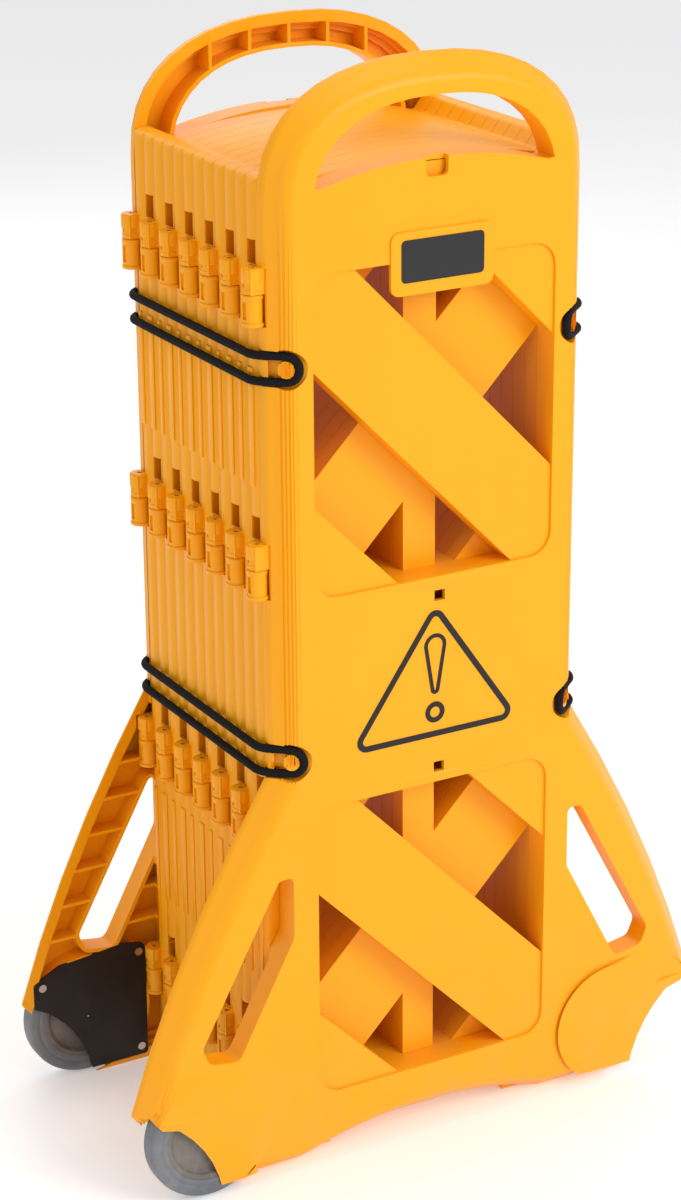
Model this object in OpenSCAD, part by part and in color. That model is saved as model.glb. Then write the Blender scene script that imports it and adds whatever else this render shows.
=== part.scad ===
// Folding crowd control barrier: two end panels on feet and wheels, with a stack of thin
// panels hinged between them. X runs across the panels, -Y faces the front end panel, Z is up.
// The origin is on the floor, in the middle of the folded stack. Millimetres.

/* [Stack] */
// Height to the top of the handles
total_h = 1016; // [1000:2:1030]
// Distance from one hinge line to the next
pitch = 19; // [18.6:0.2:19.4]
// Gap left between neighbouring panels
panel_gap = 0.6; // [0.4:0.1:1]
// Half of an inner panel's width
half_w = 160; // [158:1:160]
// Distance from the middle to a hinge axis
hinge_x = 162.5; // [162.5:0.5:164]
// Wall thickness of an inner panel
wall = 2.2; // [2:0.2:3]

/* [End panels] */
// Depth of an end panel
end_depth = 28; // [27:0.5:30]
// Half width of an end panel at its back edge
end_half = 158; // [156:0.5:158]
// Wall thickness of an end panel
end_wall = 4; // [3:0.5:5]
// Height at which the legs leave the body
flare_z = 398; // [390:2:410]
// Reach of a leg's tip from the middle
tip_x = 303; // [296:1:306]
// Height at which the handle's arch starts, and its roundness: 1 is an ellipse, less is squarer
arch_z = 903; // [880:1:930]
arch_k = 0.84;
// How much shallower the legs are than the body
leg_step = 5; // [4.5:0.5:6]

/* [Wheels] */
// Wheel radius
wheel_r = 60.5; // [58:0.5:61]
// Wheel width
wheel_w = 18; // [16:1:18]
// Axle radius
axle_r = 5; // [4:0.5:6]

/* [Elastic loops] */
// Radius of the elastic cord
cord_r = 3.7; // [3:0.1:4]
// Half the distance between a loop's two strands
loop_r = 11.5; // [10:0.5:13]

/* [Hidden] */
panels = 12;
hinges = panels + 1;
two = [for (i = [1:hinges]) str(i < 10 ? "0" : "", i)];
panel_names = [for (i = [0:panels - 1]) str("inner_panel_", two[i])];
pin_names = [for (i = [0:hinges - 1]) str("hinge_pins_", two[i])];

stack_half = panels * pitch / 2;
end_back = stack_half + panel_gap / 2;
end_front = stack_half + end_depth;
leg_back = stack_half + leg_step;
skin_y = end_front + 3.2;
panel_t = pitch - panel_gap;
yellow = [0.99, 0.69, 0.07];

// Hinge stations, given by the top of each upper knuckle
stations = [852, 609, 366, 123];
upper_h = 22;
station_h = 50;
knuckle_r = 8.5;
relief_r = 10.9;
pin_r = 2.5;
pin_fit = 0.05;

// Windows: each is two slots and a diagonal bar between them
win_half = 121;
win_h = 144;
win_mid = [701, 215.5];
slot_pts = [[-80, win_h], [37, win_h], [win_half, 60], [win_half, -61]];
centre_bar = 33;

// Wheel place, and the arch that is cut over each wheel
wheel_x = 234;
wheel_z = 62;
well_r = 62.3;
wheel_y = leg_back + 4.2 + wheel_w / 2;
arch_c = [347, -18];
arch_r = 116;
cover_t = 2.4;
cover_y = leg_back + 0.3;
screws = [[178, 118], [178, 14], [281, 105]];

// Loop heights, and the corner post that each loop passes round
upper_loop_z = 766;
lower_loop_z = 408;
side_x = 164.8;
bevel_a = 50;
bevel_dir = [-sin(bevel_a), cos(bevel_a)];
bevel_n = [cos(bevel_a), sin(bevel_a)];
post = [143.2, 135.2];
post_sink = 1;
corner_r = 20;

// ---- plane geometry -------------------------------------------------------------------

function unit(v) = v / norm(v);
function wrap(a) = a > 180 ? a - 360 : a < -180 ? a + 360 : a;

// Corner b of the outline a, b, c replaced by an arc of radius r in n steps
function arc_corner(a, b, c, r, n) =
    let (u = unit(a - b), v = unit(c - b), h = acos(u * v) / 2, m = b + unit(u + v) * r / sin(h),
         p = b + u * r / tan(h) - m, q = b + v * r / tan(h) - m,
         a0 = atan2(p[1], p[0]), d = wrap(atan2(q[1], q[0]) - a0))
    [for (k = [0:n]) m + r * [cos(a0 + d * k / n), sin(a0 + d * k / n)]];

// An outline whose corners [x, z, radius] are rounded
function rounded(p, n = 5) = [for (i = [0:len(p) - 1])
    let (a = p[(i + len(p) - 1) % len(p)], b = p[i], c = p[(i + 1) % len(p)])
    each (b[2] > 0 ? arc_corner([a[0], a[1]], [b[0], b[1]], [c[0], c[1]], b[2], n) : [[b[0], b[1]]])];

// Each edge of a counter-clockwise outline moved inwards by d. A third number is a corner radius
function cross2(u, v) = u[0] * v[1] - u[1] * v[0];
function inset_r(p, d) = [for (i = [0:len(p) - 1])
    let (a = p[(i + len(p) - 1) % len(p)], b = p[i], c = p[(i + 1) % len(p)],
         u = unit([b[0] - a[0], b[1] - a[1]]), v = unit([c[0] - b[0], c[1] - b[1]]),
         m = [-u[1] - v[1], u[0] + v[0]], q = [b[0], b[1]] + d * m / (m * [-u[1], u[0]]))
    [q[0], q[1], b[2] > 0 ? max(b[2] - d * sign(cross2(u, v)), 0.3) : 0]];
function inset(p, d) = [for (i = [0:len(p) - 1])
    let (a = p[(i + len(p) - 1) % len(p)], b = p[i], c = p[(i + 1) % len(p)],
         u = unit(b - a), v = unit(c - b), m = [-u[1] - v[1], u[0] + v[0]])
    b + d * m / (m * [-u[1], u[0]])];

function flip(p) = [for (i = [len(p) - 1:-1:0]) len(p[i]) > 2 ? [-p[i][0], p[i][1], p[i][2]]
    : [-p[i][0], p[i][1]]];
function shift(p, z) = [for (q = p) [q[0], q[1] + z]];
function turn(p) = [for (q = p) -q];

// A flat outline in X and Z, filled from y0 to y1
module upright(y0, y1) {
    translate([0, y1, 0]) rotate([90, 0, 0]) linear_extrude(y1 - y0) children();
}

module bar_y(r, y0, y1) {
    translate([0, y1, 0]) rotate([90, 0, 0]) cylinder(r = r, h = y1 - y0, $fn = 64);
}

// ---- outlines -------------------------------------------------------------------------

arch_pts = [for (a = [17:8:49]) [arch_c[0] - arch_r * cos(a), arch_c[1] + arch_r * sin(a), 0]];
half_corners = concat([[132, 0, 0], [232.5, 0, 6]], arch_pts,
    [[288, 74, 0], [tip_x, 92, 4]],
    [for (t = [0.8:-0.2:0.2]) [end_half + (tip_x - end_half) * t * (1.32 - 0.32 * t), flare_z - (flare_z - 92) * t, 0]],
    [[end_half, flare_z, 34]],
    [for (t = [0:9:81]) [end_half * pow(cos(t), arch_k), arch_z + (total_h - arch_z) * pow(sin(t), arch_k), 0]]);
// The handle is an arch: a rounded oval above arch_z, outside and inside
foot_arch = [for (x = [-110:22:110]) [x, 20 * (1 - pow(x / 132, 2)), 0]];
end_corners = concat(foot_arch, half_corners, [[0, total_h, 0]], flip(half_corners));
end_outline = rounded(end_corners, 7);
plate_top = [for (x = [-112:16:112]) [x, 932 - 15 * pow(x / 112, 2)]];
grip_arch = [for (t = [18:9:81]) [120 * pow(cos(t), arch_k), 896 + 88 * pow(sin(t), arch_k)]];
grip = concat(plate_top, [[118, 918]], grip_arch, [[0, 984]],
    [for (k = [len(grip_arch) - 1:-1:0]) [-grip_arch[k][0], grip_arch[k][1]]], [[-118, 918]]);
leg_slot_cc = rounded([[146, 300, 6], [146, 240, 14], [204, 130, 9], [234, 135, 9], [241, 152, 9],
    [161, 299, 6]], 4);
recess = rounded([[-win_half, -win_h, 22], [win_half, -win_h, 22], [win_half, win_h, 22],
    [-win_half, win_h, 22]], 5);
slot = [slot_pts[3], slot_pts[2], slot_pts[1], slot_pts[0]];
panel_outline = rounded(concat(
    [[-half_w, 14, 6], [half_w, 14, 6], [half_w, 928, 9], [141, 928, 8], [130, 914, 5]],
    [for (x = [114:-19:-114]) [x, 930 - 15 * pow(x / 130, 2), 0]],
    [[-130, 914, 5], [-141, 928, 8], [-half_w, 928, 9]]), 4);
cover_arc = [for (a = [11:6:53])
    [arch_c[0] - (arch_r + 2) * cos(a), arch_c[1] + (arch_r + 2) * sin(a), 0]];
cover_outline = rounded(concat([[170.8, 5, 4]], cover_arc,
    [[290, 84, 2], [290, 110, 3], [262, 124, 8], [232, 127, 8], [196, 131, 8], [170.8, 126, 6]]), 3);

// ---- hinges ---------------------------------------------------------------------------

// Hinge line i is on the left when i is even, on the right when it is odd
function hinge_side(i) = i % 2 == 0 ? -1 : 1;
function hinge_y(i) = -stack_half + i * pitch;

// Knuckles on one panel: dir is -1 for the panel in front of the hinge line, 1 for the one behind
module knuckles(i, dir) {
    s = hinge_side(i);
    for (top = stations) {
        z0 = dir < 0 ? top - upper_h : top - station_h;
        h = dir < 0 ? upper_h : station_h - upper_h - 0.6;
        translate([s * hinge_x, hinge_y(i), z0]) cylinder(r = knuckle_r, h = h, $fn = 48);
        translate([s > 0 ? half_w - 9 : -hinge_x - 6, hinge_y(i) + (dir < 0 ? -knuckle_r : 0), z0])
            cube([hinge_x + 6 - half_w + 9, knuckle_r, h]);
    }
}

// A shallow window in the outer side of each lower knuckle, and two dimples in each upper one
module knuckle_marks(i, dir) {
    s = hinge_side(i);
    for (top = stations) translate([s * (hinge_x + knuckle_r), hinge_y(i), 0]) {
        if (dir > 0) translate([-2.4, -3, top - station_h + 6]) cube([4.8, 6, station_h - upper_h - 13]);
        else for (z = [top - 8, top - 16]) translate([-1, -1.5, z]) cube([2, 3, 3]);
    }
}

// Bores and the room that the other panel's knuckles need
module hinge_room(i, dir) {
    s = hinge_side(i);
    for (top = stations) {
        translate([s * hinge_x, hinge_y(i), dir < 0 ? top - station_h - 0.6 : top - upper_h - 0.3])
            cylinder(r = relief_r, h = dir < 0 ? station_h - upper_h + 0.6 : upper_h + 0.9, $fn = 48);
    }
}

module hinge_bores(i) {
    for (top = stations) translate([hinge_side(i) * hinge_x, hinge_y(i), top - station_h - 2])
        cylinder(r = pin_r + pin_fit, h = station_h + 4, $fn = 32);
}

module hinge_pins(i) {
    color("silver") for (top = stations)
        translate([hinge_side(i) * hinge_x, hinge_y(i), top - station_h + 1])
            cylinder(r = pin_r, h = station_h - 2, $fn = 32);
}

// ---- inner panels ---------------------------------------------------------------------

module inner_slots(y0, y1, grow) {
    for (z = win_mid) for (p = [flip(slot), turn(flip(slot))])
        upright(y0, y1) polygon(shift(inset(p, -grow), z));
}

module inner_panel(k) {
    y0 = hinge_y(k) + panel_gap / 2;
    y1 = y0 + panel_t;
    color(yellow) difference() {
        union() {
            difference() {
                upright(y0, y1) polygon(panel_outline);
                // hollow back, with ribs left standing
                difference() {
                    upright(y0 + wall, y1 + 1) polygon(inset(panel_outline, wall));
                    inner_slots(y0, y1 + 2, wall);
                    for (z = [60:74:880]) translate([-half_w, y0, z]) cube([2 * half_w, pitch, 2]);
                    for (x = [-132, 130]) translate([x, y0, 0]) cube([2, pitch, total_h]);
                }
                difference() {
                    inner_slots(y0 - 1, y1 + 1, 0);
                    translate([-centre_bar / 2, y0 - 2, 0]) cube([centre_bar, pitch + 4, total_h]);
                }
                // windows in the edge above each knuckle of the hinge line in front
                for (top = stations) translate([hinge_side(k) > 0 ? half_w - 8 : -half_w - 1, y0 + 2, top + 1])
                    cube([9, 12, 21]);
                // eased edges
                for (s = [-1, 1]) for (y = [y0, y1]) {
                    c = y == y0 ? 1 : -1;
                    linear_extrude(total_h) polygon([[s * (half_w - 3.4), y], [s * (half_w + 1), y],
                        [s * (half_w + 1), y + c * 6], [s * half_w, y + c * 5.4]]);
                }
                hinge_room(k, 1);
                hinge_room(k + 1, -1);
            }
            for (x = [-126, 96]) translate([x, y0, 1]) cube([30, panel_t, 14]);
            knuckles(k, 1);
            knuckles(k + 1, -1);
        }
        hinge_bores(k);
        hinge_bores(k + 1);
        knuckle_marks(k, 1);
        knuckle_marks(k + 1, -1);
    }
}

// ---- end panels -----------------------------------------------------------------------

// Rounded rim in fine steps: each layer is [inset, distance behind the outer face at which it ends]
layers = [[22, 0.6], [18.5, 2], [16, 4], [13.5, 6.5], [11, 9.5], [9, 13], [6.5, 17], [3, 21]];

pad_c = [5, 843];
pad = rounded([[-51, -27, 8], [51, -27, 8], [51, 28, 8], [-51, 28, 8]]);

module end_form() {
    for (i = [0:len(layers) - 1]) upright(-end_front + (i == 0 ? 0 : layers[i - 1][1]),
        -end_front + layers[i][1]) polygon(rounded(inset_r(end_corners, layers[i][0]), 7));
    upright(-end_front + 21, -leg_back) polygon(end_outline);
    intersection() {
        upright(-leg_back - 1, -end_back) polygon(end_outline);
        translate([-end_half, -end_front, 0]) cube([2 * end_half, end_depth, total_h + 1]);
    }
    // domes over the wheel housings
    for (s = [-1, 1]) intersection() {
        upright(-skin_y, -leg_back - 4) polygon(rounded(inset_r(end_corners, 9), 7));
        translate([s * wheel_x, 0, wheel_z]) bar_y(64.5, -skin_y, -leg_back);
    }
    translate([pad_c[0], 0, pad_c[1]]) upright(-end_front - 1.6, -end_front + 4) polygon(pad);
}

// Hollow back of the handle, body and legs, with the ribs that cross it
hollow = [[19.5, 4.8], [14, 10.5], [10.5, 17]];

module end_hollow() {
    difference() {
        for (h = hollow) upright(-end_front + h[1], 0) polygon(rounded(inset_r(end_corners, h[0]), 7));
        upright(-end_front, 1) polygon(inset(grip, -end_wall));
        for (s = [-1, 1]) upright(-end_front, 1)
            polygon(s > 0 ? inset(leg_slot_cc, -end_wall) : flip(inset(leg_slot_cc, -end_wall)));
        for (z = win_mid) for (p = [slot, turn(slot)])
            upright(-end_front, 1) polygon(shift(inset(p, -end_wall), z));
        for (x = [-80, -40, 0, 40, 80]) translate([x - 1.5, -end_front, 940]) cube([3, end_depth, 80]);
        for (z = [150:34:394]) translate([-320, -end_front, z]) cube([640, end_depth, 3]);
        for (z = [430:75:900]) translate([-320, -end_front, z]) cube([640, end_depth, 3]);
        for (s = [-1, 1]) {
            translate([s * 148 - 2, -end_front, 0]) cube([4, end_depth, 960]);
            translate([s * wheel_x, 0, wheel_z]) bar_y(well_r + 4, -end_front, 1);
            // pads that take the cover's screws
            for (p = screws) translate([s * p[0], 0, p[1]]) bar_y(6, -end_front, 1);
        }
        for (z = [upper_loop_z, lower_loop_z]) for (s = [-1, 1])
            translate([s * 130 - 24, -end_front, z - 26]) cube([48, end_depth, 52]);
    }
}
module loop_pocket() {
    rotate([0, 0, atan2(bevel_n[1], bevel_n[0])]) rotate([0, 90, 0]) difference() {
        translate([0, 0, -5.8]) cylinder(r = loop_r + cord_r + 2.4, h = 30, $fn = 64);
        translate([0, 0, -8]) cylinder(r = loop_r - cord_r - 0.3, h = 9.5, $fn = 48);
    }
}

// One moulding serves both ends: this is the front one, without its knuckles
module end_moulding() {
    difference() {
        end_form();
        end_hollow();
        upright(-end_front - 5, 0) polygon(grip);
        for (z = win_mid) {
            difference() {
                upright(-end_front - 5, -end_front + 2.4) polygon(shift(recess, z));
                translate([pad_c[0], 0, pad_c[1]]) upright(-end_front - 6, -end_front + 3) polygon(pad);
            }
            for (p = [slot, turn(slot)]) difference() {
                upright(-end_front - 5, 0) polygon(shift(p, z));
                translate([-46, -end_front - 6, 816]) cube([102, 8, 60]);
            }
        }
        for (s = [-1, 1]) {
            upright(-end_front - 5, 0) polygon(s > 0 ? leg_slot_cc : flip(leg_slot_cc));
            translate([s * wheel_x, 0, wheel_z]) bar_y(well_r, -skin_y + 3, 0);
            upright(-leg_back - 3, 0) polygon(s > 0 ? inset(cover_outline, -0.4)
                : flip(inset(cover_outline, -0.4)));
            for (z = [upper_loop_z, lower_loop_z])
                translate([s * post[0], -post[1], z]) mirror([s < 0 ? 1 : 0, 0, 0]) mirror([0, 1, 0])
                    loop_pocket();
            // notches in the rim that the loops' strands run through
            for (z = [upper_loop_z, lower_loop_z]) for (dz = [-loop_r, loop_r])
                translate([s * 155.8 - 7.8, -131, z + dz - cord_r - 0.5]) cube([15.6, 16, 2 * cord_r + 1]);
        }
        // sockets along the middle, and the scoop in the plate's top edge
        for (z = [539, 374]) translate([-1, -end_front - 1, z - 5]) cube([11, 9, 10]);
        upright(-end_front - 1, -end_front + 7) polygon(rounded([[-11, 915, 5], [11, 915, 5], [11, 940, 0],
            [-11, 940, 0]]));
    }
    translate([-15, -end_front + 7, 905]) cube([30, 5, 22]);
    // axle bosses
    for (s = [-1, 1]) difference() {
        translate([s * wheel_x, 0, wheel_z]) bar_y(11, -skin_y + 2.9, -wheel_y - wheel_w / 2 - 0.4);
        translate([s * wheel_x, 0, wheel_z]) bar_y(axle_r + 0.05, -skin_y + 4, 0);
    }
}

module end_panel(rear) {
    i = rear ? hinges - 1 : 0;
    dir = rear ? 1 : -1;
    color(yellow) difference() {
        union() {
            difference() {
                rotate([0, 0, rear ? 180 : 0]) end_moulding();
                hinge_room(i, dir);
            }
            knuckles(i, dir);
            // solid edge behind the knuckles
            for (top = stations) translate([-end_half + 1, rear ? end_back : -end_back - 8, top - station_h])
                difference() {
                    cube([14, 8, station_h]);
                    translate([end_half - 1 - hinge_x, rear ? -panel_gap / 2 : 8 + panel_gap / 2,
                        rear ? station_h - upper_h - 0.3 : -1])
                        cylinder(r = relief_r, h = station_h - upper_h + 1, $fn = 48);
                }
        }
        hinge_bores(i);
        knuckle_marks(i, dir);
    }
}

// ---- wheels ---------------------------------------------------------------------------

module tyre(e) {
    color([0.42, 0.44, 0.47]) translate([-wheel_x, e * wheel_y, wheel_z]) rotate([90, 0, 0])
        rotate_extrude($fn = 96) polygon(rounded([[44, -wheel_w / 2, 0], [wheel_r, -wheel_w / 2, 4],
            [wheel_r, wheel_w / 2, 4], [44, wheel_w / 2, 0]], 4));
}

module hub(e) {
    color([0.33, 0.32, 0.31]) translate([-wheel_x, e * wheel_y, wheel_z]) rotate([90, 0, 0])
        rotate_extrude($fn = 96) polygon([[axle_r + 0.05, -wheel_w / 2], [14, -wheel_w / 2],
            [16, -wheel_w / 2 + 5], [38, -wheel_w / 2 + 5], [40, -wheel_w / 2 + 1], [44, -wheel_w / 2 + 1],
            [44, wheel_w / 2 - 1], [40, wheel_w / 2 - 1], [38, wheel_w / 2 - 5], [16, wheel_w / 2 - 5],
            [14, wheel_w / 2], [axle_r + 0.05, wheel_w / 2]]);
}

module axle(e) {
    color("silver") rotate([0, 0, e > 0 ? 180 : 0]) translate([e * wheel_x, 0, wheel_z])
        bar_y(axle_r, -skin_y + 4.2, -cover_y - 0.5);
}

module wheel_cover(e) {
    color([0.07, 0.06, 0.06]) difference() {
        rotate([0, 0, e > 0 ? 180 : 0]) upright(-cover_y - cover_t, -cover_y)
            polygon(e > 0 ? cover_outline : flip(cover_outline));
        for (p = screws) translate([-p[0], e > 0 ? 200 : 0, p[1]]) bar_y(2.6, -200, 0);
        translate([-wheel_x, e > 0 ? 200 : 0, wheel_z]) bar_y(axle_r + 0.05, -200, 0);
    }
}

module cover_screws(e) {
    color("gainsboro") for (p = screws) translate([-p[0], 0, p[1]])
        mirror([0, e > 0 ? 1 : 0, 0]) {
            bar_y(4, -cover_y, -cover_y + 1);
            bar_y(2.2, -cover_y - 2.6, -cover_y + 0.2);
        }
}

// ---- label and symbol -----------------------------------------------------------------

module end_turn(e) {
    rotate([0, 0, e > 0 ? 180 : 0]) children();
}

module label(e) {
    color([0.1, 0.1, 0.11]) end_turn(e) translate([5, 0, 847]) upright(-end_front - 2.2, -end_front - 1.6)
        polygon(rounded([[-41, -20, 4], [41, -20, 4], [41, 17, 4], [-41, 17, 4]]));
}

tri = [[-84, 407, 7], [84, 407, 7], [0, 528, 7]];
mark = concat([for (a = [0:20:180]) [11.5 * cos(a), 492 + 11.5 * sin(a)]],
    [for (a = [200:20:340]) [4.5 * cos(a), 450 + 4.5 * sin(a)]]);

module symbol(e) {
    color([0.06, 0.05, 0.05]) end_turn(e) upright(-end_front - 0.5, -end_front) {
        difference() {
            polygon(inset(rounded(tri), -2.8));
            polygon(inset(rounded(tri), 2.8));
        }
        difference() {
            polygon(mark);
            polygon(inset(mark, 3.6));
        }
        translate([0, 428]) difference() {
            circle(r = 10, $fn = 40);
            circle(r = 5.2, $fn = 32);
        }
    }
}

// ---- elastic loops --------------------------------------------------------------------

// Plan of one half of a strand, from the middle of the side to the post, as [x, depth, heading]
post_c = post - post_sink * bevel_n;
corner = post_c - bevel_dir * (side_x - post_c[0]) / sin(bevel_a);
bend_steps = 5;
bend_pts = arc_corner([side_x, 0], corner, post_c, corner_r, bend_steps);
plan = concat([[side_x, 0, 0]], [for (i = [0:bend_steps]) [bend_pts[i][0], bend_pts[i][1],
    bevel_a * i / bend_steps]]);

// The front half of the closed run: strand, bend round the post, strand, as [x, depth, z, heading]
half_run = concat([for (p = plan) [p[0], p[1], loop_r, p[2]]],
    [for (a = [90:-18:-90]) [post_c[0] + bevel_dir[0] * loop_r * cos(a),
        post_c[1] + bevel_dir[1] * loop_r * cos(a), loop_r * sin(a), bevel_a]],
    [for (i = [bend_steps + 1:-1:0]) [plan[i][0], plan[i][1], -loop_r, plan[i][2]]]);
run = concat([for (p = half_run) [[p[0], -p[1], p[2]], [cos(p[3]), -sin(p[3]), 0]]],
    [for (i = [len(half_run) - 2:-1:1]) let (p = half_run[i])
        [[p[0], p[1], p[2]], [cos(p[3]), sin(p[3]), 0]]]);

module loop(s, z) {
    n = len(run);
    sides = 10;
    rings = [for (i = [0:n - 1])
        let (t = unit(run[(i + 1) % n][0] - run[(i + n - 1) % n][0]), across = cross(t, run[i][1]))
        for (k = [0:sides - 1]) run[i][0]
            + cord_r * (cos(360 * k / sides) * run[i][1] + sin(360 * k / sides) * across)];
    color([0.05, 0.05, 0.05]) translate([0, 0, z]) mirror([s < 0 ? 1 : 0, 0, 0])
        polyhedron(rings, [for (i = [0:n - 1]) for (k = [0:sides - 1])
            [i * sides + k, ((i + 1) % n) * sides + k, ((i + 1) % n) * sides + (k + 1) % sides,
             i * sides + (k + 1) % sides]]);
}

// ---- the model ------------------------------------------------------------------------

end_panel(false);  // front_end_panel
end_panel(true);  // rear_end_panel
for (k = [0:panels - 1]) inner_panel(k);
for (i = [0:hinges - 1]) hinge_pins(i);
tyre(-1);  // front_tyre
hub(-1);  // front_hub
axle(-1);  // front_axle
wheel_cover(-1);  // front_wheel_cover
cover_screws(-1);  // front_cover_screws
tyre(1);  // rear_tyre
hub(1);  // rear_hub
axle(1);  // rear_axle
wheel_cover(1);  // rear_wheel_cover
cover_screws(1);  // rear_cover_screws
label(-1);  // front_label
label(1);  // rear_label
symbol(-1);  // front_symbol
symbol(1);  // rear_symbol
loop(-1, upper_loop_z);  // upper_left_loop
loop(1, upper_loop_z);  // upper_right_loop
loop(-1, lower_loop_z);  // lower_left_loop
loop(1, lower_loop_z);  // lower_right_loop
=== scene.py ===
"""Folding concertina barrier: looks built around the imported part, in metres, +Z up."""

import math

import bmesh
import bpy
import numpy as np
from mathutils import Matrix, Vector


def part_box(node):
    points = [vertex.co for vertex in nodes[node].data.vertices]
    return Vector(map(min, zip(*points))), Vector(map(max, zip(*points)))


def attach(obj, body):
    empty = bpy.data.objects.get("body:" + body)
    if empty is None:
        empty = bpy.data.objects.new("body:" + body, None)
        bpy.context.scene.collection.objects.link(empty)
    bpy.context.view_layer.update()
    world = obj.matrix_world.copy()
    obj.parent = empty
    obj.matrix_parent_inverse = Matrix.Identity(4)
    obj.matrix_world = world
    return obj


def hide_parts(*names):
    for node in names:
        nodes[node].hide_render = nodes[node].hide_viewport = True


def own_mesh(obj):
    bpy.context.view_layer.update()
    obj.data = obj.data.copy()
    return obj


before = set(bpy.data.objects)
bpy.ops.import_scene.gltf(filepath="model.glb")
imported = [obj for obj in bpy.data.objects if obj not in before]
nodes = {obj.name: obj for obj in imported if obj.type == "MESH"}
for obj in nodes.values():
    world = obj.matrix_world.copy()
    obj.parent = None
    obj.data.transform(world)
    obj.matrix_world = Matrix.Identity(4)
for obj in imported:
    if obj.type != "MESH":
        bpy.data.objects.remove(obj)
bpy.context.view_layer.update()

# Sizes that the mouldings share, in metres
STACK_HALF = 0.114  # half the depth of the twelve folded inner panels
PITCH = 0.019  # depth of one inner panel
INNER_PANELS = 12
HALF_WIDTH = 0.160  # of an inner panel
END_HALF = 0.158  # half the width of an end panel above its legs
END_FRONT = 0.142  # outer face of an end panel
RIM_STEPS = [0.0, 0.0006, 0.002, 0.004, 0.0065, 0.0095, 0.013, 0.017, 0.021]  # depths of the rim's steps
RIM_INSETS = [0.022, 0.0185, 0.016, 0.0135, 0.011, 0.009, 0.0065, 0.003]  # how far in each step starts
WHEEL_X = -0.234
WHEEL_Z = 0.062
DISC_R = 0.0645  # foot of the round boss in front of a wheel
DISC_TOP_R = 0.0595  # and its top
HINGE_X = 0.1625
KNUCKLE_R = 0.0085
STATION_TOPS = [0.852, 0.609, 0.366, 0.123]  # top of each group of knuckles
STATION_DEPTH = 0.050  # height of a group
UPPER_DEPTH = 0.022  # height of its upper knuckle
CORD_R = 0.0037

# How a moulding's mesh is cleaned
MERGE = 1e-5  # points closer than this are one point
SNAP = 2e-5  # a height or a place counts as equal within this
SIDE_SNAP = 3e-5
DISC_SNAP = 3e-4
WELD = 3e-4  # distance over which the sloped rim's corners are joined
SLIVER = 4e-6  # thinnest triangle that is kept, as height over its longest side
EDGE_WIDTH = 0.0006  # easing of sharp edges
MOULDING_SMOOTH = math.radians(38)
EASED_ANGLE = math.radians(42)


# ---- camera, lights and floor ----------------------------------------------------------


SENSOR_MM = 36
LENS_MM = 89.373
FAR_CLIP = 50


def look_from(azimuth, elevation, distance, target, roll=0.0):
    """Camera on a sphere round the target, with angles in degrees: azimuth 0 looks along +Y, elevation
    is upwards."""
    a, e = math.radians(azimuth), math.radians(elevation)
    away = Vector((math.sin(a) * math.cos(e), -math.cos(a) * math.cos(e), math.sin(e)))
    camera = bpy.data.objects.new("camera", bpy.data.cameras.new("camera"))
    bpy.context.scene.collection.objects.link(camera)
    camera.rotation_euler = (-away).to_track_quat("-Z", "Y").to_matrix().to_4x4().to_euler()
    camera.rotation_euler.rotate_axis("Z", math.radians(roll))
    camera.location = Vector(target) + away * distance
    camera.data.sensor_width = SENSOR_MM
    camera.data.sensor_fit = "AUTO"
    return camera


camera = look_from(azimuth=-29.5645, elevation=20.6735, distance=2.75508, target=(-0.01584, 0.0, 0.49208),
                   roll=-0.417)
camera.data.lens = LENS_MM
camera.data.clip_end = FAR_CLIP
bpy.context.scene.camera = camera


def area_light(name, place, aim, size, power):
    """A soft white rectangle of light at a place, facing the point that it is aimed at, power in W."""
    data = bpy.data.lights.new(name, "AREA")
    data.shape = "RECTANGLE"
    data.size, data.size_y = size
    data.energy = power
    lamp = bpy.data.objects.new(name, data)
    bpy.context.scene.collection.objects.link(lamp)
    lamp.location = place
    lamp.rotation_euler = (Vector(aim) - Vector(place)).to_track_quat("-Z", "Y").to_euler()


area_light("key_light", (1.5, -3.2, 2.6), (0, 0, 0.5), (2.2, 2.2), 84)
area_light("side_light", (-3.4, -1.2, 1.7), (0, 0, 0.5), (2.0, 2.4), 9)
area_light("top_light", (0.0, 0.6, 3.6), (0, 0, 0.5), (2.6, 2.6), 30)
area_light("back_light", (0.6, 3.2, 2.2), (0, 0, 0.6), (2.4, 2.0), 18)

bpy.context.scene.view_settings.view_transform = "Standard"
WORLD_STRENGTH = 0.6
world = bpy.data.worlds.new("studio")
bpy.context.scene.world = world
world.use_nodes = True
backdrop = world.node_tree.nodes["Background"]
backdrop.inputs["Color"].default_value = (1, 1, 1, 1)
backdrop.inputs["Strength"].default_value = WORLD_STRENGTH


def square(name, half):
    """A flat square at floor height with its middle at the origin."""
    mesh = bpy.data.meshes.new(name)
    corners = [(-half, -half, 0.0), (half, -half, 0.0), (half, half, 0.0), (-half, half, 0.0)]
    mesh.from_pydata(corners, [], [(0, 1, 2, 3)])
    piece = bpy.data.objects.new(name, mesh)
    bpy.context.scene.collection.objects.link(piece)
    return piece


# ---- shader groups and materials --------------------------------------------------------


def new_group(name, inputs, outputs):
    """An empty shader group with float inputs given by name and value, and named float outputs."""
    group = bpy.data.node_groups.new(name, "ShaderNodeTree")
    for label, value in inputs:
        socket = group.interface.new_socket(label, in_out="INPUT", socket_type="NodeSocketFloat")
        socket.default_value = value
    for label in outputs:
        group.interface.new_socket(label, in_out="OUTPUT", socket_type="NodeSocketFloat")
    group.nodes.new("NodeGroupInput").name = "in"
    group.nodes.new("NodeGroupOutput").name = "out"
    return group


def calc(tree, kind, a, b, clamp=False):
    """A Math node; a and b are sockets or plain numbers."""
    node = tree.nodes.new("ShaderNodeMath")
    node.operation = kind
    node.use_clamp = clamp
    for socket, value in zip(node.inputs, (a, b)):
        if isinstance(value, (int, float)):
            socket.default_value = value
        else:
            tree.links.new(value, socket)
    return node.outputs[0]


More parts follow.
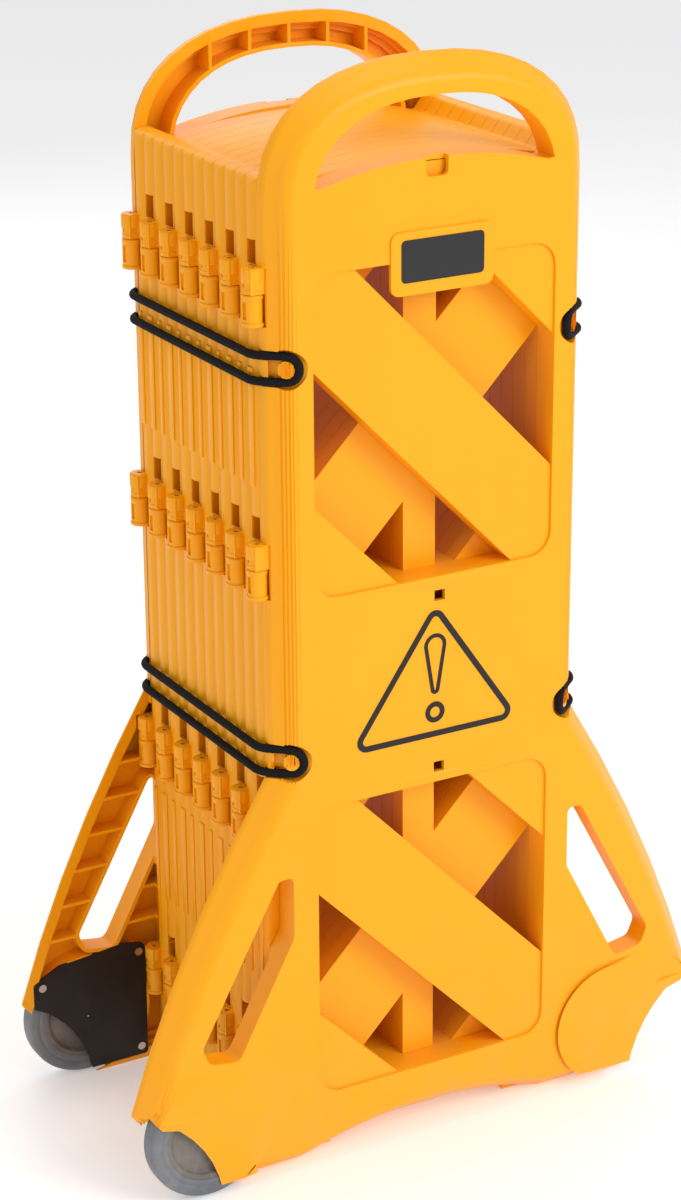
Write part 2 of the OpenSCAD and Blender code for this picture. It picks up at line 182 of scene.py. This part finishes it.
def noise(tree, scale, detail=3.0, rough=0.55, vector=None):
    """Noise on Object coordinates; scale is a number or a socket."""
    if vector is None:
        vector = tree.nodes.new("ShaderNodeTexCoord").outputs["Object"]
    node = tree.nodes.new("ShaderNodeTexNoise")
    tree.links.new(vector, node.inputs["Vector"])
    if isinstance(scale, (int, float)):
        node.inputs["Scale"].default_value = scale
    else:
        tree.links.new(scale, node.inputs["Scale"])
    node.inputs["Detail"].default_value = detail
    node.inputs["Roughness"].default_value = rough
    return node.outputs["Fac"]


def grain_group():
    """Moulded texture: fine grain over a slow unevenness of the surface, and a slow mottle."""
    group = new_group("moulded_grain", [("Grain", 900.0), ("Unevenness", 9.0)], ["Height", "Mottle"])
    source, sink = group.nodes["in"], group.nodes["out"]
    fine = noise(group, source.outputs["Grain"], 2.0)
    slow = noise(group, source.outputs["Unevenness"], 2.0)
    height = calc(group, "ADD", calc(group, "MULTIPLY", fine, 0.06), calc(group, "MULTIPLY", slow, 1.4))
    group.links.new(height, sink.inputs["Height"])
    group.links.new(noise(group, 5.5, 4.0), sink.inputs["Mottle"])
    return group


def wear_group():
    """Handling: dust that thickens towards the floor and on faces that look up, and sparse scuffs."""
    group = new_group("dust_and_scuffs", [("Dust", 0.3), ("Scuffs", 0.3), ("Dust Height", 0.3)],
                      ["Dust Mask", "Scuff Mask"])
    source, sink = group.nodes["in"], group.nodes["out"]
    coord = group.nodes.new("ShaderNodeTexCoord")
    place = group.nodes.new("ShaderNodeSeparateXYZ")
    group.links.new(coord.outputs["Object"], place.inputs[0])
    low = calc(group, "DIVIDE", place.outputs["Z"], source.outputs["Dust Height"])
    low = calc(group, "SUBTRACT", 1.0, low, clamp=True)
    facing = group.nodes.new("ShaderNodeNewGeometry")
    up = group.nodes.new("ShaderNodeSeparateXYZ")
    group.links.new(facing.outputs["Normal"], up.inputs[0])
    top = calc(group, "MULTIPLY", calc(group, "MAXIMUM", up.outputs["Z"], 0.0), 0.35)
    cloud = noise(group, 26.0, 5.0, 0.65)
    cloud = calc(group, "MULTIPLY", calc(group, "SUBTRACT", cloud, 0.38, clamp=True), 3.0, clamp=True)
    dust = calc(group, "MULTIPLY", calc(group, "ADD", calc(group, "MULTIPLY", low, low), top), cloud)
    dust = calc(group, "MULTIPLY", dust, source.outputs["Dust"], clamp=True)
    group.links.new(dust, sink.inputs["Dust Mask"])
    stretch = group.nodes.new("ShaderNodeMapping")
    stretch.inputs["Scale"].default_value = (60.0, 60.0, 7.0)
    stretch.inputs["Rotation"].default_value = (0.1, 0.2, 0.3)
    group.links.new(coord.outputs["Object"], stretch.inputs["Vector"])
    streak = noise(group, 1.0, 4.0, 0.7, stretch.outputs["Vector"])
    streak = calc(group, "MULTIPLY", calc(group, "SUBTRACT", streak, 0.63, clamp=True), 9.0, clamp=True)
    scuff = calc(group, "MULTIPLY", streak, source.outputs["Scuffs"], clamp=True)
    group.links.new(scuff, sink.inputs["Scuff Mask"])
    return group


GRAIN = grain_group()
WEAR = wear_group()


GRAIN_HEIGHT = 0.001  # metres of bump for a full step of the grain's height


def finish(name, colour, second, rough, dust=0.3, scuffs=0.3, grain=900.0, bump=0.12,
           dust_colour=(0.5, 0.46, 0.4), specular=0.5, metallic=0.0, coat=0.0, uneven=9.0, dust_height=0.3):
    """A moulded or metal finish: colour drifting to a second one, with grain, dust and scuffs."""
    material = bpy.data.materials.new(name)
    material.use_nodes = True
    material.diffuse_color = (*colour, 1)
    tree = material.node_tree
    shader = tree.nodes["Principled BSDF"]
    grains = tree.nodes.new("ShaderNodeGroup")
    grains.node_tree = GRAIN
    grains.inputs["Grain"].default_value = grain
    grains.inputs["Unevenness"].default_value = uneven
    wears = tree.nodes.new("ShaderNodeGroup")
    wears.node_tree = WEAR
    wears.inputs["Dust"].default_value = dust
    wears.inputs["Scuffs"].default_value = scuffs
    wears.inputs["Dust Height"].default_value = dust_height
    drift = tree.nodes.new("ShaderNodeMix")
    drift.data_type = "RGBA"
    drift.inputs[6].default_value = (*colour, 1)
    drift.inputs[7].default_value = (*second, 1)
    tree.links.new(grains.outputs["Mottle"], drift.inputs[0])
    dusty = tree.nodes.new("ShaderNodeMix")
    dusty.data_type = "RGBA"
    dusty.inputs[7].default_value = (*dust_colour, 1)
    tree.links.new(wears.outputs["Dust Mask"], dusty.inputs[0])
    tree.links.new(drift.outputs[2], dusty.inputs[6])
    tree.links.new(dusty.outputs[2], shader.inputs["Base Color"])
    roughness = calc(tree, "ADD", calc(tree, "MULTIPLY", grains.outputs["Mottle"], 0.12), rough - 0.06)
    roughness = calc(tree, "ADD", roughness, calc(tree, "MULTIPLY", wears.outputs["Scuff Mask"], 0.16))
    dulled = calc(tree, "MULTIPLY", wears.outputs["Dust Mask"], 0.3)
    roughness = calc(tree, "ADD", roughness, dulled, clamp=True)
    tree.links.new(roughness, shader.inputs["Roughness"])
    ridge = tree.nodes.new("ShaderNodeBump")
    ridge.inputs["Strength"].default_value = bump
    ridge.inputs["Distance"].default_value = GRAIN_HEIGHT
    tree.links.new(grains.outputs["Height"], ridge.inputs["Height"])
    tree.links.new(ridge.outputs["Normal"], shader.inputs["Normal"])
    shader.inputs["Metallic"].default_value = metallic
    shader.inputs["Specular IOR Level"].default_value = specular
    shader.inputs["Coat Weight"].default_value = coat
    shader.inputs["Coat Roughness"].default_value = 0.25
    return material


YELLOW = finish("yellow_polyethylene", (0.97, 0.40, 0.002), (0.94, 0.375, 0.002), 0.38,
                dust=0.07, scuffs=0.35, specular=0.28, bump=0.09)
BLACK_PLASTIC = finish("black_polypropylene", (0.009, 0.007, 0.006), (0.013, 0.010, 0.009), 0.48,
                       dust=0.03, specular=0.3, grain=1500.0, bump=0.3)
TYRE = finish("grey_tread", (0.105, 0.12, 0.145), (0.14, 0.155, 0.18), 0.55,
              dust=0.5, scuffs=0.6, grain=1300.0, bump=0.35, dust_colour=(0.42, 0.4, 0.37))
HUB = finish("grey_hub", (0.13, 0.115, 0.1), (0.10, 0.09, 0.08), 0.5, dust=0.4, bump=0.2)
STEEL = finish("drawn_steel", (0.55, 0.55, 0.54), (0.42, 0.42, 0.42), 0.32,
               dust=0.2, metallic=1.0, grain=2600.0)
ZINC = finish("zinc_plate", (0.66, 0.65, 0.6), (0.5, 0.5, 0.47), 0.3, dust=0.1, metallic=1.0, grain=2400.0)
PRINT = finish("stamped_black", (0.01, 0.008, 0.008), (0.016, 0.013, 0.012), 0.42,
               dust=0.02, scuffs=0.5, specular=0.3, grain=1800.0)
LABEL = finish("dark_film", (0.01, 0.009, 0.01), (0.014, 0.012, 0.013), 0.3,
               dust=0.02, coat=0.2, grain=1500.0, specular=0.3, bump=0.05)
FLOOR = finish("pale_floor", (0.9, 0.9, 0.9), (0.88, 0.88, 0.88), 0.7,
               dust=0.0, scuffs=0.0, bump=0.0, grain=300.0, uneven=1.0)
FLOOR_GLOW = 0.25


STRANDS_ALONG = 260.0  # crossings of the braid in a metre
STRANDS_ROUND = 8.0


def cord_finish():
    """Braided sheath on the piece's own UV map: two sets of crossing strands, u along and v round."""
    material = bpy.data.materials.new("braided_sheath")
    material.use_nodes = True
    tree = material.node_tree
    shader = tree.nodes["Principled BSDF"]
    spot = tree.nodes.new("ShaderNodeSeparateXYZ")
    tree.links.new(tree.nodes.new("ShaderNodeUVMap").outputs[0], spot.inputs[0])
    along = calc(tree, "MULTIPLY", spot.outputs["X"], 2.0 * math.pi * STRANDS_ALONG)
    round_it = calc(tree, "MULTIPLY", spot.outputs["Y"], 2.0 * math.pi * STRANDS_ROUND)
    left = calc(tree, "SINE", calc(tree, "ADD", along, round_it), 0.0)
    right = calc(tree, "SINE", calc(tree, "SUBTRACT", along, round_it), 0.0)
    weave = calc(tree, "MAXIMUM", left, right)
    ridge = tree.nodes.new("ShaderNodeBump")
    ridge.inputs["Strength"].default_value = 0.6
    ridge.inputs["Distance"].default_value = 0.0005
    tree.links.new(weave, ridge.inputs["Height"])
    tree.links.new(ridge.outputs["Normal"], shader.inputs["Normal"])
    # Base colour follows the weave's height: the grooves between the strands are painted darker than their
    # crests, a painted shade.
    groove_shade = tree.nodes.new("ShaderNodeMix")
    groove_shade.data_type = "RGBA"
    groove_shade.inputs[6].default_value = (0.004, 0.004, 0.005, 1)
    groove_shade.inputs[7].default_value = (0.012, 0.012, 0.013, 1)
    tree.links.new(calc(tree, "MULTIPLY", calc(tree, "ADD", weave, 1.0), 0.5, clamp=True), groove_shade.inputs[0])
    tree.links.new(groove_shade.outputs[2], shader.inputs["Base Color"])
    shader.inputs["Roughness"].default_value = 0.7
    shader.inputs["Specular IOR Level"].default_value = 0.1
    return material


CORD = cord_finish()


# ---- making meshes -----------------------------------------------------------------------


def new_piece(name, points, faces, material, smooth_angle=35):
    """A mesh object at the origin from points and faces, smooth except over sharp edges."""
    mesh = bpy.data.meshes.new(name)
    mesh.from_pydata(points, [], faces)
    mesh.validate()
    mesh.update()
    mesh.polygons.foreach_set("use_smooth", np.ones(len(mesh.polygons), bool))
    mesh.set_sharp_from_angle(angle=math.radians(smooth_angle))
    mesh.materials.append(material)
    piece = bpy.data.objects.new(name, mesh)
    bpy.context.scene.collection.objects.link(piece)
    return piece


def node_mesh(node):
    """Points and triangles of a node, with points closer than a hundredth of a millimetre made one."""
    mesh = nodes[node].data
    mesh.calc_loop_triangles()
    points = np.zeros(len(mesh.vertices) * 3)
    mesh.vertices.foreach_get("co", points)
    corners = np.zeros(len(mesh.loop_triangles) * 3, np.int32)
    mesh.loop_triangles.foreach_get("vertices", corners)
    points = points.reshape(-1, 3)
    grid = np.round(points / MERGE).astype(np.int64)
    _, first, back = np.unique(grid, axis=0, return_index=True, return_inverse=True)
    triangles = back.reshape(-1)[corners].reshape(-1, 3)
    a, b, c = triangles.T
    return points[first], triangles[(a != b) & (b != c) & (a != c)]


def slope_rim(points, outward):
    """The moulding's rim is cut in fine steps. A point at the foot of a step is raised to the top of
    it, wherever another point stands straight above it or it lies on the side's straight edge, so that
    the ledges join into one slope. The discs in front of the wheels get a sloped edge too."""
    raised = points.copy()
    depth = END_FRONT - outward * points[:, 1]
    place = np.round(points[:, [0, 2]] / SNAP).astype(np.int64)
    key = place[:, 0] * 4000003 + place[:, 1]
    for upper, lower, inset in zip(RIM_STEPS[:-1], RIM_STEPS[1:], RIM_INSETS):
        above = key[np.abs(depth - upper) < SNAP]
        on_side = np.abs(np.abs(points[:, 0]) - (END_HALF - inset)) < SIDE_SNAP
        foot = (np.abs(depth - lower) < SNAP) & (np.isin(key, above) | on_side)
        raised[foot, 1] = outward * (END_FRONT - upper)
    # the outer circle of a disc shrinks and its foot stays
    disc_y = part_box("front_end_panel")[0].y * -outward
    for side in (-1, 1):
        across = points[:, [0, 2]] - [side * WHEEL_X, WHEEL_Z]
        reach = np.hypot(*across.T)
        edge = (np.abs(np.abs(points[:, 1]) - abs(disc_y)) < SNAP) & (reach > DISC_R - DISC_SNAP)
        raised[edge, 0] = side * WHEEL_X + across[edge, 0] * DISC_TOP_R / DISC_R
        raised[edge, 2] = WHEEL_Z + across[edge, 1] * DISC_TOP_R / DISC_R
    return raised


def moulding(node, name, body, outward=None):
    """A node as a smooth moulding: doubles merged, an end panel's rim sloped, edges eased. Outward is
    the sign of Y that an end panel faces."""
    points, triangles = node_mesh(node)
    if outward is not None:
        points = slope_rim(points, outward)
        corners = points[triangles]
        sides = np.linalg.norm(corners - np.roll(corners, 1, 1), axis=2)
        normal = np.cross(corners[:, 1] - corners[:, 0], corners[:, 2] - corners[:, 0])
        triangles = triangles[np.linalg.norm(normal, axis=1) > sides.max(1) * SLIVER]
    mesh = bpy.data.meshes.new(name)
    mesh.from_pydata(points.tolist(), [], triangles.tolist())
    shape = bmesh.new()
    shape.from_mesh(mesh)
    bmesh.ops.remove_doubles(shape, verts=shape.verts, dist=WELD)
    bmesh.ops.dissolve_degenerate(shape, edges=shape.edges, dist=SNAP)
    shape.to_mesh(mesh)
    shape.free()
    mesh.polygons.foreach_set("use_smooth", np.ones(len(mesh.polygons), bool))
    mesh.set_sharp_from_angle(angle=MOULDING_SMOOTH)
    mesh.materials.append(YELLOW)
    piece = bpy.data.objects.new(name, mesh)
    bpy.context.scene.collection.objects.link(piece)
    bevel = piece.modifiers.new("eased_edges", "BEVEL")
    bevel.width = EDGE_WIDTH
    bevel.segments = 2
    bevel.limit_method = "ANGLE"
    bevel.angle_limit = EASED_ANGLE
    bevel.use_clamp_overlap = True
    bevel.harden_normals = False
    bevel.miter_outer = "MITER_ARC"
    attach(piece, body)
    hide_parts(node)


moulding("front_end_panel", "front_end_moulding", "front_end", outward=-1)
moulding("rear_end_panel", "rear_end_moulding", "rear_end", outward=1)
for number in range(1, INNER_PANELS + 1):
    moulding(f"inner_panel_{number:02d}", f"inner_moulding_{number:02d}", f"panel_{number:02d}")


# ---- trim on the edges of the mouldings -----------------------------------------------------


def ring_faces(rows, columns):
    """Quads of a grid of rows by columns that closes on itself both ways."""
    row, column = np.meshgrid(np.arange(rows), np.arange(columns), indexing="ij")
    next_row, next_column = (row + 1) % rows, (column + 1) % columns
    quads = [row * columns + column, row * columns + next_column,
             next_row * columns + next_column, next_row * columns + column]
    return np.stack(quads, -1).reshape(-1, 4)


def turned(profile, centre, axis="z", steps=64):
    """A closed profile of [radius, height] carried round an axis: point = centre + radius times the
    unit circle + height along the axis. The profile runs anticlockwise in radius and height."""
    profile = np.asarray(profile, float)
    angle = np.arange(steps) * 2 * np.pi / steps
    x = np.outer(np.cos(angle), profile[:, 0])
    y = np.outer(np.sin(angle), profile[:, 0])
    z = np.broadcast_to(profile[:, 1], x.shape)
    points = np.stack([x, y, z], -1) if axis == "z" else np.stack([x, -z, y], -1)
    return points.reshape(-1, 3) + centre, ring_faces(steps, len(profile))[:, ::-1]


def soft_profile(corners, steps=4):
    """Corners of [radius, height, rounding]: each corner becomes an arc of a circle of that radius."""
    out = []
    count = len(corners)
    for index, (r, z, rounding) in enumerate(corners):
        here = np.array([r, z])
        if rounding <= 0:
            out.append(here)
            continue
        before = np.array(corners[index - 1][:2]) - here
        after = np.array(corners[(index + 1) % count][:2]) - here
        before, after = before / np.linalg.norm(before), after / np.linalg.norm(after)
        share = np.linspace(0, 1, steps + 1)[:, None]
        bend = (1 - share) ** 2 * before + share ** 2 * after
        out.extend(here + rounding * bend)
    return np.array(out)


def bar_section(low, high, proud, side, x, y, half_width, ledge):
    """A pad on a panel's edge, as rings of eight points from its foot to its top. The section is a
    flat-topped hump; the two end rings shrink into the edge, and a ledge stands out near the top."""
    across = np.array([-1.0, -0.98, -0.72, 0.72, 0.98, 1.0, 0.6, -0.6]) * half_width
    out = np.array([-0.6, 0.55, 1.0, 1.0, 0.55, -0.6, -1.2, -1.2]) * proud
    height = np.array([low, low + 0.0003, low + 0.0012, high - 0.0042, high - 0.0036, high - 0.0012,
                       high - 0.0003, high])
    swell = np.array([0.0, 0.7, 1.0, 1.0, ledge, ledge, ledge * 0.8, 0.0])
    points = np.zeros((len(height), 8, 3))
    points[..., 0] = side * (x + np.outer(swell, np.maximum(out, 0)) + np.minimum(out, 0))
    points[..., 1] = y + across * np.where(swell > 0, 1, 0.8)[:, None]
    points[..., 2] = height[:, None]
    faces = ring_faces(len(height), 8)
    faces = faces[: (len(height) - 1) * 8]
    ends = [[0, 7, 6, 5, 4, 3, 2, 1], [len(height) * 8 - 8 + k for k in range(8)]]
    faces = [list(map(int, f)) for f in faces] + ends
    if side < 0:
        faces = [f[::-1] for f in faces]
    return points.reshape(-1, 3), faces


class Gather:
    """Several closed shapes put together as one piece."""

    def __init__(self):
        self.points, self.faces, self.count = [], [], 0

    def add(self, shape):
        points, faces = shape
        self.points.append(np.asarray(points, float))
        self.faces += [[int(k) + self.count for k in face] for face in faces]
        self.count += len(points)

    def piece(self, name, material, body, slot, smooth_angle=35):
        made = new_piece(name, np.concatenate(self.points).tolist(), self.faces, material, smooth_angle)
        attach(made, body)
        return made


def collar(x, y, low, high, reach):
    """A band round a knuckle: a flat ring with soft corners between two heights."""
    return turned(soft_profile([[KNUCKLE_R - 0.0012, low, 0], [reach, low, 0.0005], [reach, high, 0.0005],
                                [KNUCKLE_R - 0.0012, high, 0]], 3), [x, y, 0], "z", 40)


def hinge_trim(gather, line, front):
    """Bands on the knuckles of one hinge line: a cap on each upper knuckle, lips on each lower one."""
    side = -1 if line % 2 == 0 else 1
    x, y = side * HINGE_X, -STACK_HALF + line * PITCH
    for top in STATION_TOPS:
        if front:
            gather.add(collar(x, y, top - 0.0125, top - 0.0006, KNUCKLE_R + 0.0010))
            gather.add(collar(x, y, top - 0.0195, top - 0.0180, KNUCKLE_R + 0.0006))
        else:
            low = top - STATION_DEPTH
            gather.add(collar(x, y, low + 0.0003, low + 0.0032, KNUCKLE_R + 0.0012))
            lip = top - UPPER_DEPTH
            gather.add(collar(x, y, lip - 0.0045, lip - 0.0012, KNUCKLE_R + 0.0008))


# Each row of pads: its foot, its top, how proud it stands, and its ledge
PAD_ROWS = [(0.658, 0.7495, 0.0018, 1.0), (0.186, 0.296, 0.0015, 1.0), (0.7588, 0.7640, 0.0022, 1.0)]
WIDE_PAD_HALF = 0.0042
NARROW_PAD_HALF = 0.0026


def edge_pads(gather, panel):
    """Raised pads on both edges of an inner panel, wide and narrow in turn, under the loops."""
    middle = -STACK_HALF + (panel - 0.5) * PITCH
    half = WIDE_PAD_HALF if panel % 2 else NARROW_PAD_HALF
    for side in (-1, 1):
        for low, high, proud, ledge in PAD_ROWS:
            gather.add(bar_section(low, high, proud, side, HALF_WIDTH, middle, half, ledge))


bodies = ["front_end"] + [f"panel_{number:02d}" for number in range(1, INNER_PANELS + 1)] + ["rear_end"]
for place, body in enumerate(bodies):
    trim = Gather()
    if place < len(bodies) - 1:
        hinge_trim(trim, place, True)
    if place > 0:
        hinge_trim(trim, place - 1, False)
    if 0 < place < len(bodies) - 1:
        edge_pads(trim, place)
    trim.piece(f"edge_trim_{place:02d}", YELLOW, body, "yellow_plastic")


# ---- wheels and axle caps --------------------------------------------------------------------


def middle_of(node):
    """The middle of a node's box."""
    low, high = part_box(node)
    return (np.array(low) + np.array(high)) / 2


def wheel(end, body):
    """Tyre and hub, both turned about the axle: a tyre with soft shoulders and a groove in each side
    wall, and a hub with a raised rim, a dished web and a boss."""
    centre = middle_of(f"{end}_tyre")
    low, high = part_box(f"{end}_tyre")
    outer, half = (high.x - low.x) / 2, (high.y - low.y) / 2
    side = [[0.0438, half - 0.0008, 0], [0.0475, half - 0.0002, 0.0008], [0.0500, half - 0.0011, 0.0009],
            [0.0525, half, 0.0010], [outer, half, 0.0042]]
    tyre = soft_profile([[r, -z, c] for r, z, c in side] + [[r, z, c] for r, z, c in side[::-1]], 5)
    piece = Gather()
    piece.add(turned(tyre, centre, "y", 128))
    made = piece.piece(f"{end}_tyre_tread", TYRE, body, "tyre_grey", 50)
    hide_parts(f"{end}_tyre")
    web, boss = half - 0.005, 0.0052
    side = [[boss, half - 0.0001, 0.0004], [0.0138, half - 0.0001, 0.0012], [0.0165, web, 0.0018],
            [0.0372, web, 0.0020], [0.0398, half - 0.0010, 0.0012], [0.0439, half - 0.0010, 0.0005]]
    hub = soft_profile([[r, -z, c] for r, z, c in side] + [[r, z, c] for r, z, c in side[::-1]], 4)
    piece = Gather()
    piece.add(turned(hub, centre, "y", 96))
    made = piece.piece(f"{end}_hub_disc", HUB, body, "hub_grey", 50)
    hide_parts(f"{end}_hub")


def axle_cap(end, outward):
    """A low black button over the axle's end, with a dimple in its middle: turned about the axle."""
    low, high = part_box(f"{end}_axle")
    x, z = (low.x + high.x) / 2, (low.z + high.z) / 2
    inner = high.y if outward < 0 else low.y
    rise = -outward
    rings = np.array([[0.0001, -0.0004], [0.0007, -0.0003], [0.0010, 0.0002], [0.0052, 0.0003],
                      [0.0062, -0.0002], [0.0064, -0.0012], [0.0001, -0.0012]])
    points, faces = turned(np.stack([rings[:, 0], -rise * rings[:, 1]], -1), [x, inner, z], "y", 40)
    faces = faces if rise < 0 else faces[:, ::-1]
    cap = Gather()
    cap.add((points, faces[:, ::-1]))
    cap.piece(f"{end}_axle_cap", BLACK_PLASTIC, f"{end}_end", "black_plastic")


for end, outward in (("front", -1), ("rear", 1)):
    wheel(end, f"{end}_wheel")
    axle_cap(end, outward)


# ---- elastic loops ---------------------------------------------------------------------------

SIDE_X = 0.1648  # the strands' distance from the middle plane
BEVEL_TURN = math.radians(50)  # turn from the stack's side to the bevelled corner
POST_SINK = 0.001
POST_C = np.array([0.1432, 0.1352]) - POST_SINK * np.array([math.cos(BEVEL_TURN), math.sin(BEVEL_TURN)])
BEND_R = 0.020
CORD_SIDES = 16


def loop_path(reach):
    """Half of a loop's plan, from the middle of the stack's side to the post: straight, an arc of
    BEND_R that turns the line onto the bevel, and straight to the post; then a half circle of the
    loop's reach round the post, and the same way back a strand lower. The other end mirrors it."""
    along = np.array([-math.sin(BEVEL_TURN), math.cos(BEVEL_TURN)])
    corner = POST_C - along * (SIDE_X - POST_C[0]) / math.sin(BEVEL_TURN)
    before = BEND_R * math.tan(BEVEL_TURN / 2)
    turn = np.linspace(0, BEVEL_TURN, 12)
    arc = np.stack([SIDE_X - BEND_R + BEND_R * np.cos(turn),
                    corner[1] - before + BEND_R * np.sin(turn)], -1)
    depths = np.linspace(0, corner[1] - before, 30)[:-1]
    line = np.stack([np.full(len(depths), SIDE_X), depths], -1)
    plan = np.concatenate([line, arc, arc[-1] + (POST_C - arc[-1]) * np.array([[0.33], [0.66]])])
    head = np.concatenate([np.zeros(len(line)), turn, [BEVEL_TURN] * 2])
    swing = np.linspace(np.pi / 2, -np.pi / 2, 25)
    round_post = POST_C + np.outer(reach * np.cos(swing), along)
    xy = np.concatenate([plan, round_post, plan[::-1]])
    z = np.concatenate([np.full(len(plan), reach), reach * np.sin(swing), np.full(len(plan), -reach)])
    heading = np.concatenate([head, np.full(len(swing), BEVEL_TURN), head[::-1]])
    front = np.column_stack([xy[:, 0], -xy[:, 1], z])
    front_out = np.column_stack([np.cos(heading), -np.sin(heading), 0 * heading])
    back = slice(len(front) - 2, 0, -1)
    points = np.concatenate([front, front[back] * [1, -1, 1]])
    outs = np.concatenate([front_out, front_out[back] * [1, -1, 1]])
    return points, outs


def elastic_loop(node, side):
    """A round cord carried along the closed path: point = path + cord radius times a circle in the
    plane of the outward direction and the cross of the tangent with it. U is the length, V the turn."""
    low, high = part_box(node)
    reach = (high.z - low.z) / 2 - CORD_R
    path, outs = loop_path(reach)
    tangent = np.roll(path, -1, 0) - np.roll(path, 1, 0)
    tangent /= np.linalg.norm(tangent, axis=1)[:, None]
    across = np.cross(tangent, outs)
    turn = np.arange(CORD_SIDES) * 2 * np.pi / CORD_SIDES
    rings = path[:, None] + CORD_R * (np.cos(turn)[None, :, None] * outs[:, None]
                                      + np.sin(turn)[None, :, None] * across[:, None])
    points = rings.reshape(-1, 3) * [side, 1, 1] + [0, 0, (low.z + high.z) / 2]
    faces = ring_faces(len(path), CORD_SIDES)
    if side > 0:
        faces = faces[:, ::-1]
    piece = new_piece(node + "_cord", points.tolist(), faces.tolist(), CORD, 80)
    step = np.linalg.norm(np.roll(path, -1, 0) - path, axis=1)
    start = np.concatenate([[0], np.cumsum(step)[:-1]])
    row, column = np.meshgrid(np.arange(len(path)), np.arange(CORD_SIDES), indexing="ij")
    u0, u1 = start[row], (start + step)[row]
    v0, v1 = column / CORD_SIDES, (column + 1) / CORD_SIDES
    quad_uv = np.stack([np.stack([u0, v0], -1), np.stack([u0, v1], -1),
                        np.stack([u1, v1], -1), np.stack([u1, v0], -1)], -2)
    if side > 0:
        quad_uv = quad_uv[..., ::-1, :]
    layer = piece.data.uv_layers.new(name="UVMap")
    layer.data.foreach_set("uv", quad_uv.reshape(-1).astype(np.float32))
    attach(piece, "front_end")
    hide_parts(node)
    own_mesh(piece)


for level in ("upper", "lower"):
    elastic_loop(f"{level}_left_loop", -1)
    elastic_loop(f"{level}_right_loop", 1)


# ---- materials on the nodes that stay -----------------------------------------------------


def repaint(node, material):
    """Every slot of a node's mesh takes the material."""
    mesh = nodes[node].data
    if not mesh.materials:
        mesh.materials.append(material)
    for index in range(len(mesh.materials)):
        mesh.materials[index] = material


for number in range(1, INNER_PANELS + 2):
    repaint(f"hinge_pins_{number:02d}", STEEL)
for end in ("front", "rear"):
    repaint(f"{end}_axle", STEEL)
    repaint(f"{end}_wheel_cover", BLACK_PLASTIC)
    repaint(f"{end}_cover_screws", ZINC)
    repaint(f"{end}_label", LABEL)
    repaint(f"{end}_symbol", PRINT)

floor = square("floor", 12.0)
glow = FLOOR.node_tree.nodes["Principled BSDF"]
glow.inputs["Emission Color"].default_value = (1, 1, 1, 1)
glow.inputs["Emission Strength"].default_value = FLOOR_GLOW
floor.data.materials.append(FLOOR)
